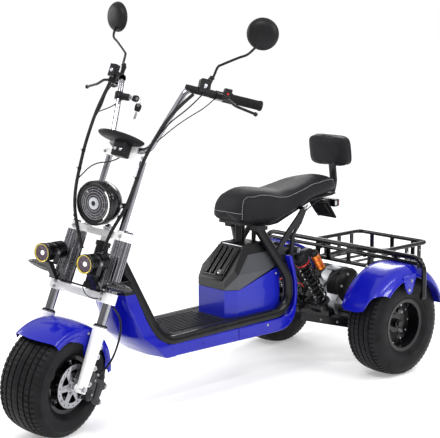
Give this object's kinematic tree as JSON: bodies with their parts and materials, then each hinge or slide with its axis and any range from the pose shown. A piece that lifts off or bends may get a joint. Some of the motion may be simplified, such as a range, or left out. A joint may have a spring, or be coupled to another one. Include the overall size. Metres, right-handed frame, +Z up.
{
  "type": "electric three-wheel scooter",
  "caption": "Fat-tyred electric scooter with a single sprung steered front wheel, step-through footboard, padded seat with a backrest and a basket rack over the rear axle.",
  "frame": {"origin": "middle of the footprint box on the floor under the tyres", "axes": "+X forward, +Y to the rider's left, +Z up"},
  "size_m": [1.9902, 0.906, 1.4668],
  "materials": {
    "black_steel": "satin black powder coat",
    "blue_plastic": "glossy cobalt blue",
    "black_plastic": "moulded black",
    "grey_plastic": "smooth dark grey",
    "white_metal": "gloss white paint",
    "chrome": "polished",
    "aluminium": "cast, satin",
    "steel": "brushed",
    "tyre": "grooved tread",
    "rubber": "soft black",
    "vinyl": "dark stitched vinyl",
    "battery_case": "moulded case",
    "red_lens": "clear red",
    "amber_lens": "amber",
    "lamp_black": "gloss black with a clear lens",
    "gold_metal": "black body with a gold ring"
  },
  "bodies": {
    "chassis": {"frame_rails": "black_steel", "steering_head": "black_steel", "frame_crossbars": "black_steel", "footboard": "black_plastic", "front_cover": "blue_plastic", "side_skirts": "blue_plastic", "battery_housing": "blue_plastic", "housing_cover": "grey_plastic", "battery": "battery_case", "seat_base": "black_plastic", "seat": "vinyl", "seat_struts": "black_steel", "backrest_bracket": "black_steel", "backrest": "vinyl", "tail_light": "red_lens", "plate_bracket": "black_plastic", "rear_axle": "black_steel", "drive_motor": "aluminium", "rear_subframe": "black_steel", "rear_shocks": "black_steel", "rear_fender_left": "blue_plastic", "rear_fender_right": "blue_plastic", "rack_basket": "black_steel", "rack_hoop": "black_steel", "rack_stays": "black_steel"},
    "steering": {"front_axle": "steel", "fork_sliders": "white_metal", "fork_tubes": "chrome", "lower_yoke": "white_metal", "upper_yoke": "white_metal", "handlebar_posts": "chrome", "cross_clamp": "white_metal", "handlebar": "chrome", "grips": "rubber", "brake_levers": "black_steel", "switch_pods": "black_plastic", "mirrors": "black_plastic", "dash_display": "black_plastic", "ignition_lock": "aluminium", "headlight": "lamp_black", "spotlights": "gold_metal", "spotlight_bracket": "black_steel", "turn_signals": "amber_lens", "front_fender": "blue_plastic", "brake_caliper": "black_steel", "wiring_looms": "rubber", "brake_hose": "rubber"},
    "front_wheel": {"front_tyre": "tyre", "front_rim": "black_steel", "brake_disc": "steel"},
    "rear_wheel_left": {"rear_tyre_left": "tyre", "rear_rim_left": "black_steel"},
    "rear_wheel_right": {"rear_tyre_right": "tyre", "rear_rim_right": "black_steel"},
    "battery_lid": {"battery_lid": "black_plastic"}
  },
  "joints": [
    {"name": "steering_turn", "type": "hinge", "parent": "chassis", "child": "steering", "pos_m": [0.76612, 0, 0.1771], "axis": [-0.3875, 0, 0.9219], "range_deg": [-52.6, 23.4]},
    {"name": "front_wheel_spin", "type": "hinge", "parent": "steering", "child": "front_wheel", "pos_m": [0.80181, 0.01008, 0.1921], "axis": [-0.2324, 0.9677, -0.0977], "continuous": true},
    {"name": "rear_left_spin", "type": "hinge", "parent": "chassis", "child": "rear_wheel_left", "pos_m": [-0.593, 0.3325, 0.204], "axis": [0, 1, 0], "continuous": true},
    {"name": "rear_right_spin", "type": "hinge", "parent": "chassis", "child": "rear_wheel_right", "pos_m": [-0.593, -0.3325, 0.204], "axis": [0, 1, 0], "continuous": true},
    {"name": "battery_lid_hinge", "type": "hinge", "parent": "chassis", "child": "battery_lid", "pos_m": [-0.035, 0, 0.546], "axis": [0, -1, 0], "range_deg": [0, 60]}
  ]
}
